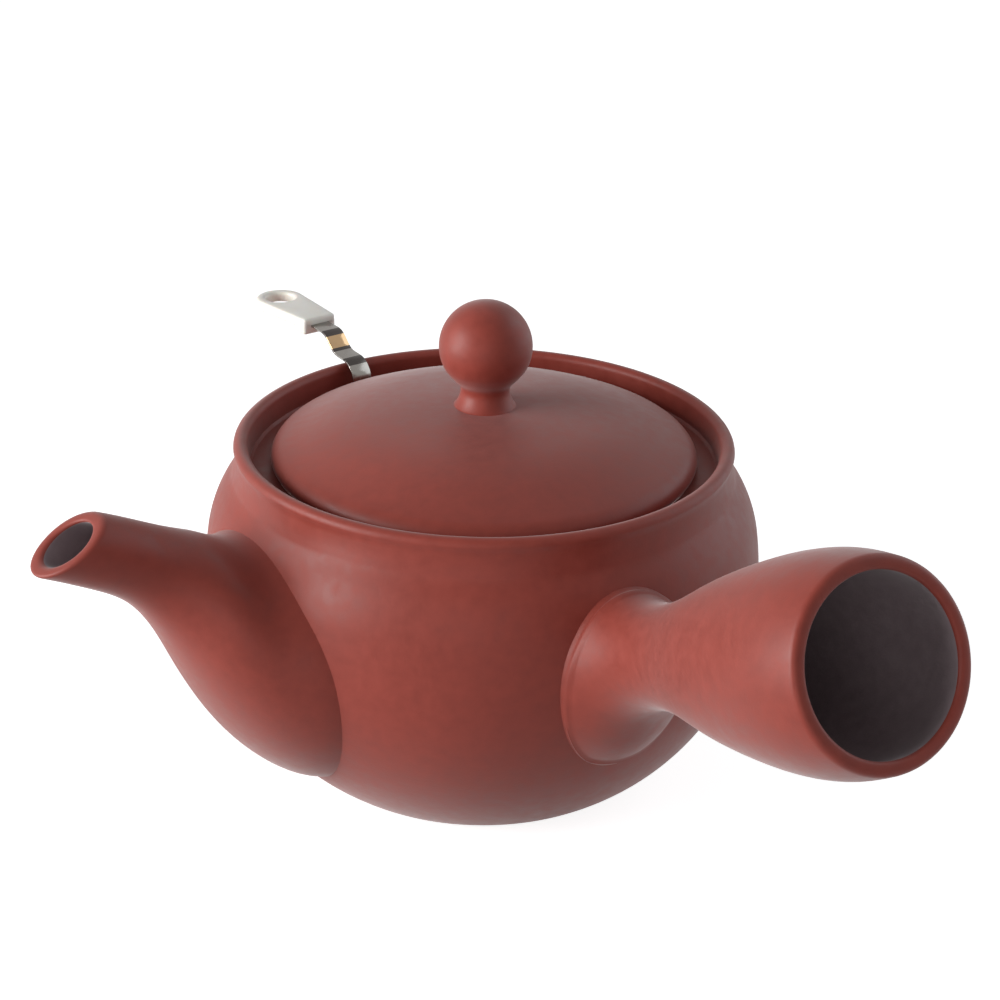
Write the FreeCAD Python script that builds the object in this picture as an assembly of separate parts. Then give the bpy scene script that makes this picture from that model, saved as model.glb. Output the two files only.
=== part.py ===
"""Side-handled red clay teapot with a lift-out strainer basket.

Millimetres, +Z up, origin at the middle of the base. The hollow handle points along -Y,
the spout close to -X, and the basket's strap leaves over the rim close to +Y.
"""
import FreeCAD
import Part

import math
import os

# pot body
BASE_R = 33.8
BELLY_R = 55.95
BELLY_Z = 39.3
BELLY_ARC = 47.85
SHOULDER = ((55.1, 50.0), (53.3, 56.0))
FOOT_Z = 1.2
WALL = 3.0
FLOOR = 4.0
FLOOR_BEND = 2.4
HOLLOW_SHOULDER = ((51.9, 50.0), (47.6, 56.8))
NOTCH_R = 50.0
NOTCH_Z = 61.4
RIM_R = 49.5
RIM_TOP = 68.9
RIM_ROUND = 1.45
RIM_FACETS = 6
COLLAR_FOOT = (49.7, 62.8)
NECK_IN = 46.4
LEDGE_Z = 63.1
THROAT_R = 39.6
THROAT_LOW = 60.4
THROAT_EDGE = 0.6
POUR_HOLE_R = 8.0
POUR_HOLE_Z = 36.0

# spout: (distance from the pot's axis, height, rise in degrees, height above the middle,
# depth below it, half width)
SPOUT_TURN = 184.8
SPOUT_STATIONS = (
    (99.9, 72.3, 24.0, 6.6, 6.6, 6.6),
    (90.5, 68.0, 24.0, 6.6, 6.6, 6.6),
    (81.6, 63.8, 26.0, 6.9, 6.9, 7.1),
    (72.5, 58.1, 27.8, 8.0, 8.0, 8.7),
    (68.5, 53.9, 21.2, 10.1, 10.1, 11.8),
    (64.6, 48.5, 14.5, 13.4, 13.4, 16.2),
    (56.9, 39.3, 7.5, 19.4, 19.5, 22.4),
    (49.0, 35.2, 0.0, 23.6, 25.4, 26.6),
    (38.0, 35.0, 0.0, 24.0, 27.6, 27.4),
)
SPOUT_WALL = 2.2
SPOUT_MOUTH = (88.9, 67.3)
SPOUT_MOUTH_RISE = 58.0
SPOUT_LIP = 0.7

# handle: its axis leaves the pot's axis at HANDLE_Z and rises along -Y;
# stations are (distance along the axis, half height, half width)
HANDLE_Z = 19.8
HANDLE_RISE = 25.2
HANDLE_STATIONS = (
    (48.0, 21.0, 18.2),
    (57.0, 17.0, 14.8),
    (64.0, 12.2, 11.4),
    (72.0, 9.6, 9.6),
    (80.0, 9.9, 9.9),
    (95.0, 13.5, 13.5),
    (110.0, 16.5, 16.5),
    (122.0, 17.8, 17.8),
    (130.0, 17.5, 17.5),
    (135.5, 16.5, 16.5),
)
HANDLE_WALL = 2.5
HANDLE_LIP = 0.8

# lid and knob: the dome is (distance from the axis, height)
LID_UNDER = 63.8
LID_SEAT_R = 6.6
LID_SEAT_Z = 74.9
LID_DOME = ((22.0, 73.6), (33.0, 70.8), (39.8, 68.0))
LID_EDGE = ((41.35, 66.95), (42.2, 65.5), (41.9, 64.35), (41.2, 63.8))
LID_INNER = ((20.0, 70.1), (34.4, 66.0))
LID_THICK = 3.2
SKIRT_R = 37.0
SKIRT_WALL = 2.6
SKIRT_LOW = 57.6
SKIRT_EDGE = 0.6
KNOB_FOOT_R = 6.2
KNOB_WAIST_R = 4.7
KNOB_WAIST_Z = 78.1
KNOB_NECK_R = 5.3
KNOB_R = 9.15
KNOB_Z = 87.1

# strainer basket
SHEET = 0.5
FLANGE_Z = 63.2
FLANGE_R = 41.6
COLLAR_R = 38.8
COLLAR_LOW = 55.5
NET_TOP = 58.0
NET_LOW = 14.6
NET_LOW_R = 34.6
NET_COLUMNS = 36
NET_ROWS = 7
NET_FIRST = 19.5
NET_PITCH = 5.2
NET_GAP_W = 4.4
NET_GAP_H = 3.6
NET_REACH = 3.0
FLOOR_PITCH = 4.0
FLOOR_GAP = 2.8
FLOOR_NET_R = 31.5
SEAM_R = 35.3
SEAM_LOW = 13.4
SEAM_TOP = 17.0
SEAM_INNER = 32.7
SHEET_EDGE = 0.6
SHEET_GAP = 0.05

# strap and tab: corners of the strap's path are (distance from the pot's axis, height)
STRAP_TURN = 98.3
STRAP_W = 4.6
STRAP_FOOT_R = 41.0
STRAP_CORNERS = ((43.4, 63.45), (43.4, 67.3), (45.7, 70.0), (50.9, 70.4), (54.5, 73.9))
STRAP_END = (67.0, 74.3)
STRAP_BEND = 0.9
TAB_NEAR = 59.7
TAB_HOLE_R = 76.0
TAB_NEAR_W = 8.0
TAB_FAR_RADIUS = 5.4
TAB_HOLE = 3.3
TAB_TOP = 75.8
TAB_T = 2.4
TAB_BLOCK_T = 3.6
TAB_BLOCK = 5.0
TAB_ROUND = 0.7

OVAL_POINTS = 12
FAR = 40.0
Z_AXIS = FreeCAD.Vector(0, 0, 1)
ORIGIN = FreeCAD.Vector(0, 0, 0)


def at(r, z):
    """Point of the turning plane."""
    return FreeCAD.Vector(r, 0, z)


def line(a, b):
    return Part.makeLine(at(*a), at(*b))


def arc(a, middle, b):
    return Part.Arc(at(*a), at(*middle), at(*b)).toShape()


def flow(points, start):
    """Arcs through points that run on smoothly from one to the next, from a first direction."""
    edges = []
    heading = at(*start).normalize()
    for a, b in zip(points, points[1:]):
        step = at(*b) - at(*a)
        chord = step.normalize()
        length = (at(*b) - at(*a)).Length
        aside = heading - chord * heading.dot(chord)
        if aside.Length < 1e-6:
            edges.append(line(a, b))
            continue
        bulge = math.tan(math.atan2(aside.Length, heading.dot(chord)) / 2) * length / 2
        middle = (at(*a) + at(*b)) * 0.5 + aside.normalize() * bulge
        edges.append(Part.Arc(at(*a), middle, at(*b)).toShape())
        heading = chord * (2 * heading.dot(chord)) - heading
    return edges


def lines(*points):
    """Straight edges from point to point."""
    return [line(a, b) for a, b in zip(points, points[1:])]


def turned(edges):
    """Solid of revolution about Z of a closed outline in the turning plane."""
    face = Part.Face(Part.Wire(Part.sortEdges(edges)[0]))
    solid = face.revolve(ORIGIN, Z_AXIS, 360)
    if solid.Volume < 0:
        solid.reverse()
    return solid


def belly_r(z, inset=0.0):
    """Radius of the round lower belly at a height."""
    radius = BELLY_ARC - inset
    return BELLY_R - BELLY_ARC + math.sqrt(radius ** 2 - (BELLY_Z - z) ** 2)


def belly_outline():
    """Outside of the pot from the base's edge up to the notch under the collar."""
    foot = (belly_r(FOOT_Z), FOOT_Z)
    middle_z = BELLY_Z / 2
    side = (BELLY_R, BELLY_Z)
    return [
        *flow([(BASE_R, 0), foot], (1, 0)),
        arc(foot, (belly_r(middle_z), middle_z), side),
        *flow([side, *SHOULDER, (NOTCH_R, NOTCH_Z)], (0, 1)),
    ]


def belly_solid():
    """The pot's outside as a full solid, up to the rim."""
    return turned([*lines((0, RIM_TOP), (0, 0), (BASE_R, 0)), *belly_outline(),
                   *lines((NOTCH_R, NOTCH_Z), (NOTCH_R, RIM_TOP), (0, RIM_TOP))])


def rim_points():
    """Half round crest of the rim, from its outside over to its inside."""
    centre_r = RIM_R - RIM_ROUND
    centre_z = RIM_TOP - RIM_ROUND
    turns = [math.pi * i / RIM_FACETS for i in range(RIM_FACETS + 1)]
    return [(centre_r + RIM_ROUND * math.cos(t), centre_z + RIM_ROUND * math.sin(t)) for t in turns]


def pot_shell():
    """The whole hollow pot with the hole that leads into the spout."""
    rim = rim_points()
    side = (BELLY_R - WALL, BELLY_Z)
    bend_z = FLOOR + FLOOR_BEND
    bend = (belly_r(bend_z, WALL), bend_z)
    flat = (belly_r(FLOOR, WALL) - FLOOR_BEND, FLOOR)
    middle_z = (BELLY_Z + bend_z) / 2
    shell = turned([
        *lines((0, FLOOR), (0, 0), (BASE_R, 0)),
        *belly_outline(),
        *flow([(NOTCH_R, NOTCH_Z), COLLAR_FOOT, rim[0]], (0, 1)),
        *lines(*rim, (NECK_IN, LEDGE_Z), (THROAT_R + THROAT_EDGE, LEDGE_Z),
               (THROAT_R, LEDGE_Z - THROAT_EDGE), (THROAT_R, THROAT_LOW)),
        *flow([side, *HOLLOW_SHOULDER, (THROAT_R, THROAT_LOW)], (0, 1)),
        arc(side, (belly_r(middle_z, WALL), middle_z), bend),
        *lines(bend, flat, (0, FLOOR)),
    ])
    hole = Part.makeCylinder(POUR_HOLE_R, BELLY_R, at(0, POUR_HOLE_Z), at(1, 0))
    hole.rotate(ORIGIN, Z_AXIS, SPOUT_TURN)
    return shell.cut(hole)


def layer(shape, low, high):
    """Part of a shape between two heights."""
    return shape.common(Part.makeCylinder(BELLY_R + FAR, high - low, at(0, low))).removeSplitter()


def pot_base():
    return layer(pot_shell(), 0, FLOOR)


def pot_body():
    return layer(pot_shell(), FLOOR, NOTCH_Z)


def pot_collar():
    return layer(pot_shell(), NOTCH_Z, RIM_TOP)


def oval(centre, rise, above, below, wide):
    """Closed smooth section facing a rising direction of the turning plane."""
    angle = math.radians(rise)
    up = at(-math.sin(angle), math.cos(angle))
    points = []
    for i in range(OVAL_POINTS):
        turn = 2 * math.pi * i / OVAL_POINTS
        height = math.sin(turn) * (above if turn < math.pi else below)
        points.append(centre + FreeCAD.Vector(0, wide * math.cos(turn), 0) + up * height)
    ring = Part.BSplineCurve()
    ring.interpolate(Points=points, PeriodicFlag=True)
    return Part.Wire(ring.toShape())


def spout_loft(inset):
    return Part.makeLoft([oval(at(along, height), rise, above - inset, below - inset, wide - inset)
                          for along, height, rise, above, below, wide in SPOUT_STATIONS], True, False)


def eased_mouth(tube, point, facing, width):
    """Tube with every edge that lies in a plane broken."""
    edges = [edge for edge in tube.Edges
             if all(abs((p - point).dot(facing)) < 1e-4 for p in edge.discretize(5))]
    return tube.makeChamfer(width, edges)


def spout():
    angle = math.radians(SPOUT_MOUTH_RISE)
    facing = at(math.cos(angle), math.sin(angle))
    mouth = at(*SPOUT_MOUTH)
    tube = spout_loft(0).cut(spout_loft(SPOUT_WALL)).cut(Part.makeCylinder(FAR, FAR, mouth, facing))
    tube = eased_mouth(tube, mouth, facing, SPOUT_LIP)
    tube.rotate(ORIGIN, Z_AXIS, SPOUT_TURN)
    return tube.cut(belly_solid())


def handle_loft(inset):
    return Part.makeLoft([oval(handle_point(along), HANDLE_RISE, tall - inset, tall - inset, wide - inset)
                          for along, tall, wide in HANDLE_STATIONS], True, False)


def handle_point(along):
    """Point of the handle's axis, before the handle is turned to -Y."""
    angle = math.radians(HANDLE_RISE)
    return at(math.cos(angle) * along, HANDLE_Z + math.sin(angle) * along)


def handle():
    end = handle_point(HANDLE_STATIONS[-1][0])
    facing = (end - handle_point(0)).normalize()
    shell = handle_loft(0).cut(handle_loft(HANDLE_WALL))
    shell = eased_mouth(shell, end, facing, HANDLE_LIP)
    shell.rotate(ORIGIN, Z_AXIS, -90)
    return shell.cut(belly_solid())


def lid():
    skirt_in = SKIRT_R - SKIRT_WALL
    seat = (LID_SEAT_R, LID_SEAT_Z)
    crown = (0, LID_SEAT_Z - LID_THICK)
    return turned([
        *lines(crown, (0, LID_SEAT_Z), seat),
        *flow([seat, *LID_DOME], (1, -0.03)),
        *lines(LID_DOME[-1], *LID_EDGE, (SKIRT_R, LID_UNDER), (SKIRT_R, SKIRT_LOW + SKIRT_EDGE),
               (SKIRT_R - SKIRT_EDGE, SKIRT_LOW), (skirt_in, SKIRT_LOW), LID_INNER[-1]),
        *flow([crown, *LID_INNER], (1, 0)),
    ])


def lid_knob():
    join_z = KNOB_Z - math.sqrt(KNOB_R ** 2 - KNOB_NECK_R ** 2)
    foot = (KNOB_FOOT_R, LID_SEAT_Z)
    neck = (KNOB_NECK_R, join_z)
    top = (0, KNOB_Z + KNOB_R)
    return turned([
        *lines(top, (0, LID_SEAT_Z), foot),
        *flow([foot, (KNOB_WAIST_R, KNOB_WAIST_Z), neck], (-0.7, 1)),
        arc(neck, (KNOB_R, KNOB_Z), top),
    ])


def strainer_rim():
    collar_in = COLLAR_R - SHEET
    top = FLANGE_Z + SHEET
    return turned(lines((collar_in, COLLAR_LOW), (COLLAR_R, COLLAR_LOW), (COLLAR_R, FLANGE_Z),
                        (FLANGE_R, FLANGE_Z), (FLANGE_R, top), (collar_in + SHEET_EDGE, top),
                        (collar_in, top - SHEET_EDGE), (collar_in, COLLAR_LOW)))


def net_r(height):
    """Outside radius of the tapered net at a height."""
    slope = (COLLAR_R - SHEET - NET_LOW_R) / (COLLAR_LOW - NET_LOW)
    return NET_LOW_R + slope * (height - NET_LOW)


def strainer_wall():
    top_r = COLLAR_R - SHEET
    shell = turned(lines((NET_LOW_R - SHEET, NET_LOW), (NET_LOW_R, NET_LOW), (top_r, COLLAR_LOW),
                         (top_r, NET_TOP), (top_r - SHEET, NET_TOP), (top_r - SHEET, COLLAR_LOW),
                         (NET_LOW_R - SHEET, NET_LOW)))
    gaps = []
    for row in range(NET_ROWS):
        low = NET_FIRST + row * NET_PITCH - NET_GAP_H / 2
        for column in range(NET_COLUMNS):
            corner = FreeCAD.Vector(NET_LOW_R - NET_REACH, -NET_GAP_W / 2, low)
            gap = Part.makeBox(COLLAR_R, NET_GAP_W, NET_GAP_H, corner)
            gap.rotate(ORIGIN, Z_AXIS, 360 * column / NET_COLUMNS)
            gaps.append(gap)
    return shell.cut(Part.makeCompound(gaps))


def strainer_floor():
    height = SEAM_LOW + SHEET + SHEET_GAP
    wires = [Part.Wire(Part.makeCircle(NET_LOW_R - SHEET_GAP, at(0, height)))]
    reach = int(FLOOR_NET_R / FLOOR_PITCH)
    half = FLOOR_GAP / 2
    for column in range(-reach, reach + 1):
        for row in range(-reach, reach + 1):
            x = column * FLOOR_PITCH
            y = row * FLOOR_PITCH
            if math.hypot(abs(x) + half, abs(y) + half) > FLOOR_NET_R:
                continue
            corners = [(x - half, y - half), (x - half, y + half), (x + half, y + half), (x + half, y - half)]
            points = [FreeCAD.Vector(px, py, height) for px, py in corners + corners[:1]]
            wires.append(Part.makePolygon(points))
    return Part.Face(wires, "Part::FaceMakerBullseye").extrude(at(0, SHEET))


def strainer_seam():
    floor_low = SEAM_LOW + SHEET
    return turned(lines((SEAM_INNER, SEAM_LOW), (SEAM_R - SHEET_EDGE, SEAM_LOW), (SEAM_R, SEAM_LOW + SHEET_EDGE),
                        (SEAM_R, SEAM_TOP), (net_r(SEAM_TOP), SEAM_TOP), (NET_LOW_R, NET_LOW),
                        (NET_LOW_R, floor_low), (SEAM_INNER, floor_low), (SEAM_INNER, SEAM_LOW)))


def bent_path(corners, bend):
    """Wire through corners with every inner corner rounded."""
    points = [at(*corner) for corner in corners]
    edges = []
    start = points[0]
    for before, corner, after in zip(points, points[1:], points[2:]):
        back = (before - corner).normalize()
        ahead = (after - corner).normalize()
        half = math.acos(max(-1.0, min(1.0, back.dot(ahead)))) / 2
        reach = bend / math.tan(half)
        first = corner + back * reach
        last = corner + ahead * reach
        inner = (back + ahead).normalize()
        middle = corner + inner * (bend / math.sin(half) - bend)
        edges += [Part.makeLine(start, first), Part.Arc(first, middle, last).toShape()]
        start = last
    edges.append(Part.makeLine(start, points[-1]))
    return Part.Wire(edges)


def strap_solid():
    """Bent strip from the basket's flange, over the rim and into the tab."""
    level = STRAP_CORNERS[0][1]
    path = bent_path([(STRAP_FOOT_R, level), *STRAP_CORNERS, STRAP_END], STRAP_BEND)
    low = level - SHEET / 2
    high = level + SHEET / 2
    half = STRAP_W / 2
    corners = [(-half, low), (half, low), (half, high), (-half, high), (-half, low)]
    section = Part.makePolygon([FreeCAD.Vector(STRAP_FOOT_R, y, z) for y, z in corners])
    return path.makePipeShell([section], True, False)


def strainer_strap():
    strap = strap_solid()
    strap.rotate(ORIGIN, Z_AXIS, STRAP_TURN)
    return strap.cut(strainer_rim())


def tab_plan(z):
    """Outline of the tab from above: narrow at the strap, round at the far end."""
    near = TAB_NEAR_W / 2
    lean = math.asin((TAB_FAR_RADIUS - near) / (TAB_HOLE_R - TAB_NEAR))
    touch_x = TAB_HOLE_R - TAB_FAR_RADIUS * math.sin(lean)
    touch_y = TAB_FAR_RADIUS * math.cos(lean)
    corners = [FreeCAD.Vector(touch_x, -touch_y, z), FreeCAD.Vector(TAB_NEAR, -near, z),
               FreeCAD.Vector(TAB_NEAR, near, z), FreeCAD.Vector(touch_x, touch_y, z)]
    tip = FreeCAD.Vector(TAB_HOLE_R + TAB_FAR_RADIUS, 0, z)
    edges = [Part.makeLine(a, b) for a, b in zip(corners, corners[1:])]
    edges.append(Part.Arc(corners[-1], tip, corners[0]).toShape())
    return Part.Face(Part.Wire(edges))


def strainer_tab():
    plate = tab_plan(TAB_TOP - TAB_T).extrude(at(0, TAB_T))
    block = tab_plan(TAB_TOP - TAB_BLOCK_T).extrude(at(0, TAB_BLOCK_T))
    beyond = Part.makeBox(FAR, FAR, FAR, FreeCAD.Vector(TAB_NEAR + TAB_BLOCK, -FAR / 2, TAB_TOP - FAR / 2))
    tab = plate.fuse(block.cut(beyond)).removeSplitter()
    edges = [edge for edge in tab.Edges if abs(edge.BoundBox.ZMin - TAB_TOP) < 1e-6]
    tab = tab.makeFillet(TAB_ROUND, edges)
    tab = tab.cut(Part.makeCylinder(TAB_HOLE, FAR, at(TAB_HOLE_R, TAB_TOP - FAR / 2)))
    tab = tab.cut(strap_solid())
    tab.rotate(ORIGIN, Z_AXIS, STRAP_TURN)
    return tab


PIECES = (pot_base, pot_body, pot_collar, spout, handle, lid, lid_knob, strainer_rim, strainer_wall, strainer_floor,
          strainer_seam, strainer_strap, strainer_tab)


def main():
    os.makedirs("parts", exist_ok=True)
    for piece in PIECES:
        shape = piece()
        solids = shape.Solids
        box = shape.BoundBox
        print(piece.__name__, len(solids), shape.isValid(), round(shape.Volume, 1),
              [round(v, 1) for v in (box.XMin, box.YMin, box.ZMin, box.XMax, box.YMax, box.ZMax)])
        solids[0].exportStep("parts/%s.step" % piece.__name__)


main()
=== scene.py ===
"""Looks of a side-handled red clay teapot with a lift-out strainer basket, on a white floor."""

import logging
import math
from dataclasses import dataclass, field
from enum import Enum

import bmesh
import bpy
import numpy as np
from mathutils import Matrix, Vector


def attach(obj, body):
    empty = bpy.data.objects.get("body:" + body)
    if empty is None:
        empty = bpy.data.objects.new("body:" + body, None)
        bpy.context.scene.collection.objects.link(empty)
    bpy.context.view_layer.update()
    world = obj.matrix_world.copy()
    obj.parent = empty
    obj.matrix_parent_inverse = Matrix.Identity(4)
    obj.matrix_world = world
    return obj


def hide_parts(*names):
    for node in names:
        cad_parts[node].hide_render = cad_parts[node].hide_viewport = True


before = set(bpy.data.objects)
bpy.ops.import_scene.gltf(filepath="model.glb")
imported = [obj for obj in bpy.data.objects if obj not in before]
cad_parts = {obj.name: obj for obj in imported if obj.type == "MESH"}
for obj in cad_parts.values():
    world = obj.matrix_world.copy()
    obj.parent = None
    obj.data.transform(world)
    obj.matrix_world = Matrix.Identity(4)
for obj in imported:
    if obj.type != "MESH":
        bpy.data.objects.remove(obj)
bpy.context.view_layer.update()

LOG = logging.getLogger("teapot")
MM = 0.001
Point = tuple[float, float]
Triple = tuple[float, float, float]
Wire = tuple[list[Vector], bool]


class Body(Enum):
    """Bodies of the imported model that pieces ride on."""

    POT = "pot"
    BASKET = "basket"
    COVER = "cover"


class Slot(Enum):
    """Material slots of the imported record."""

    CLAY = "red_clay"
    STEEL = "stainless"
    PLASTIC = "white_plastic"


class Nodes:
    """A material's node tree with short ways to add and join nodes."""

    middle: Point = (0.3, 0.7)

    def __init__(self, name: str) -> None:
        """Starts an empty tree with one surface output.

        Args:
            name: Name of the material.
        """
        self.material = bpy.data.materials.new(name)
        self.material.use_nodes = True
        self.tree = self.material.node_tree
        self.tree.nodes.clear()
        self.output = self.add("ShaderNodeOutputMaterial")

    def add(self, kind: str, **values: object) -> bpy.types.Node:
        """Adds a node.

        Args:
            kind: Blender's name of the node's type.
            **values: Properties of the node, or values of its inputs by name with _ for spaces.

        Returns:
            The new node.
        """
        node = self.tree.nodes.new(kind)
        for key, value in values.items():
            if hasattr(node, key):
                setattr(node, key, value)
            else:
                node.inputs[key.replace("_", " ")].default_value = value
        return node

    def join(self, source: bpy.types.NodeSocket, target: bpy.types.NodeSocket) -> None:
        """Links an output to an input."""
        self.tree.links.new(source, target)

    def place(self) -> bpy.types.NodeSocket:
        """Adds object coordinates and returns them."""
        return self.add("ShaderNodeTexCoord").outputs["Object"]

    def noise(self, place: bpy.types.NodeSocket, scale: float, detail: float = 2.0,
              stretch: Triple = (1.0, 1.0, 1.0)) -> bpy.types.NodeSocket:
        """Adds a noise pattern.

        Args:
            place: Coordinates that it reads.
            scale: Features in a metre.
            detail: Octaves of finer noise.
            stretch: Scale along each axis.

        Returns:
            The pattern's value.
        """
        mapping = self.add("ShaderNodeMapping")
        mapping.inputs["Scale"].default_value = stretch
        self.join(place, mapping.inputs["Vector"])
        node = self.add("ShaderNodeTexNoise", Scale=scale, Detail=detail)
        self.join(mapping.outputs["Vector"], node.inputs["Vector"])
        return node.outputs["Fac"]

    def ramp(self, value: bpy.types.NodeSocket, stops: list[tuple[float, Triple]]) -> bpy.types.NodeSocket:
        """Adds a colour ramp.

        Args:
            value: What the ramp reads.
            stops: Places from 0 to 1 with their colours.

        Returns:
            The ramp's colour.
        """
        node = self.add("ShaderNodeValToRGB")
        ramp = node.color_ramp
        while len(ramp.elements) < len(stops):
            ramp.elements.new(0.5)
        for element, (place, colour) in zip(ramp.elements, stops):
            element.position = place
            element.color = (*colour, 1.0)
        self.join(value, node.inputs["Fac"])
        return node.outputs["Color"]

    def spread(self, value: bpy.types.NodeSocket, low: float, high: float) -> bpy.types.NodeSocket:
        """Maps a pattern's middle range onto two values.

        Args:
            value: The pattern.
            low: Value at the pattern's low end.
            high: Value at its high end.

        Returns:
            The mapped value.
        """
        node = self.add("ShaderNodeMapRange", clamp=True)
        node.inputs["From Min"].default_value = self.middle[0]
        node.inputs["From Max"].default_value = self.middle[1]
        node.inputs["To Min"].default_value = low
        node.inputs["To Max"].default_value = high
        self.join(value, node.inputs["Value"])
        return node.outputs["Result"]

    def bump(self, height: bpy.types.NodeSocket, distance: float, strength: float,
             before: bpy.types.NodeSocket | None = None) -> bpy.types.NodeSocket:
        """Adds a bump node.

        Args:
            height: Pattern that it reads.
            distance: Height of the bumps in metres.
            strength: Share of the bump that is kept.
            before: Normal of an earlier bump.

        Returns:
            The bumped normal.
        """
        node = self.add("ShaderNodeBump", Distance=distance, Strength=strength)
        self.join(height, node.inputs["Height"])
        if before:
            self.join(before, node.inputs["Normal"])
        return node.outputs["Normal"]

    def surface(self, shader: bpy.types.Node) -> bpy.types.Material:
        """Joins a shader to the output and returns the material."""
        self.join(shader.outputs[0], self.output.inputs["Surface"])
        return self.material


@dataclass(frozen=True)
class ClayFinish:
    """Unglazed iron-red clay, burnished to a satin skin with fine grit."""

    name: str = "red_clay"
    dark: Triple = (0.226, 0.035, 0.023)
    middle: Triple = (0.262, 0.042, 0.028)
    pale: Triple = (0.300, 0.050, 0.034)
    cloud_scale: float = 22.0
    mottle_scale: float = 420.0
    grit_scale: float = 2600.0
    turning_scale: float = 900.0
    turning: float = 0.12
    turning_height: float = 0.00004
    mottle_bump: float = 0.35
    mottle_height: float = 0.00006
    grit_bump: float = 0.4
    grit_height: float = 0.00003
    bloom: float = 0.30
    bloom_rough: float = 0.4
    gloss: float = 0.30
    rough_low: float = 0.40
    rough_high: float = 0.52
    mottle_share: float = 0.45
    cloud_share: float = 0.55

    def build(self) -> bpy.types.Material:
        """Makes the material.

        Returns:
            The clay material.
        """
        nodes = Nodes(self.name)
        place = nodes.place()
        cloud = nodes.noise(place, self.cloud_scale, 3.0)
        mottle = nodes.noise(place, self.mottle_scale, 4.0)
        grit = nodes.noise(place, self.grit_scale, 2.0)
        rings = nodes.noise(place, self.turning_scale, 1.0, (0.04, 0.04, 1.0))
        blend = nodes.add("ShaderNodeMath", operation="MULTIPLY_ADD")
        nodes.join(mottle, blend.inputs[0])
        blend.inputs[1].default_value = self.mottle_share
        drift = nodes.add("ShaderNodeMath", operation="MULTIPLY")
        nodes.join(cloud, drift.inputs[0])
        drift.inputs[1].default_value = self.cloud_share
        nodes.join(drift.outputs[0], blend.inputs[2])
        colour = nodes.ramp(blend.outputs[0], [(0.32, self.dark), (0.5, self.middle), (0.68, self.pale)])
        shader = nodes.add("ShaderNodeBsdfPrincipled", IOR=1.5)
        shader.inputs["Specular IOR Level"].default_value = self.gloss
        shader.inputs["Sheen Weight"].default_value = self.bloom
        shader.inputs["Sheen Roughness"].default_value = self.bloom_rough
        nodes.join(colour, shader.inputs["Base Color"])
        nodes.join(nodes.spread(mottle, self.rough_low, self.rough_high), shader.inputs["Roughness"])
        normal = nodes.bump(rings, self.turning_height, self.turning)
        normal = nodes.bump(mottle, self.mottle_height, self.mottle_bump, normal)
        normal = nodes.bump(grit, self.grit_height, self.grit_bump, normal)
        nodes.join(normal, shader.inputs["Normal"])
        return nodes.surface(shader)


@dataclass(frozen=True)
class SteelFinish:
    """Bright stainless sheet or wire with fine draw lines."""

    name: str
    colour: Triple = (0.70, 0.685, 0.655)
    rough_low: float = 0.16
    rough_high: float = 0.34
    line_scale: float = 1400.0
    lines: Triple = (1.0, 1.0, 0.03)
    tarnish_scale: float = 130.0
    tarnish: float = 0.82

    def build(self) -> bpy.types.Material:
        """Makes the material.

        Returns:
            The steel material.
        """
        nodes = Nodes(self.name)
        place = nodes.place()
        drawn = nodes.noise(place, self.line_scale, 3.0, self.lines)
        tarnish = nodes.noise(place, self.tarnish_scale, 3.0)
        low = tuple(value * self.tarnish for value in self.colour)
        shader = nodes.add("ShaderNodeBsdfPrincipled", Metallic=1.0)
        nodes.join(nodes.ramp(tarnish, [(0.35, low), (0.6, self.colour)]), shader.inputs["Base Color"])
        nodes.join(nodes.spread(drawn, self.rough_low, self.rough_high), shader.inputs["Roughness"])
        nodes.join(nodes.bump(drawn, 0.00001, 0.3), shader.inputs["Normal"])
        return nodes.surface(shader)


@dataclass(frozen=True)
class PlasticFinish:
    """Creamy moulded plastic with a soft sheen."""

    colour: Triple = (0.94, 0.91, 0.84)
    shade: Triple = (0.90, 0.86, 0.77)
    tone_scale: float = 160.0
    skin_scale: float = 3200.0
    depth: float = 0.08
    depth_scale: float = 0.002
    coat: float = 0.3
    coat_rough: float = 0.25
    rough_low: float = 0.30
    rough_high: float = 0.42

    def build(self) -> bpy.types.Material:
        """Makes the material.

        Returns:
            The plastic material.
        """
        nodes = Nodes("white_plastic")
        place = nodes.place()
        tone = nodes.noise(place, self.tone_scale, 3.0)
        skin = nodes.noise(place, self.skin_scale, 2.0)
        shader = nodes.add("ShaderNodeBsdfPrincipled", IOR=1.49)
        shader.inputs["Subsurface Weight"].default_value = self.depth
        shader.inputs["Subsurface Scale"].default_value = self.depth_scale
        shader.inputs["Coat Weight"].default_value = self.coat
        shader.inputs["Coat Roughness"].default_value = self.coat_rough
        nodes.join(nodes.ramp(tone, [(0.35, self.shade), (0.62, self.colour)]), shader.inputs["Base Color"])
        nodes.join(nodes.spread(tone, self.rough_low, self.rough_high), shader.inputs["Roughness"])
        nodes.join(nodes.bump(skin, 0.00001, 0.3), shader.inputs["Normal"])
        return nodes.surface(shader)


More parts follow.
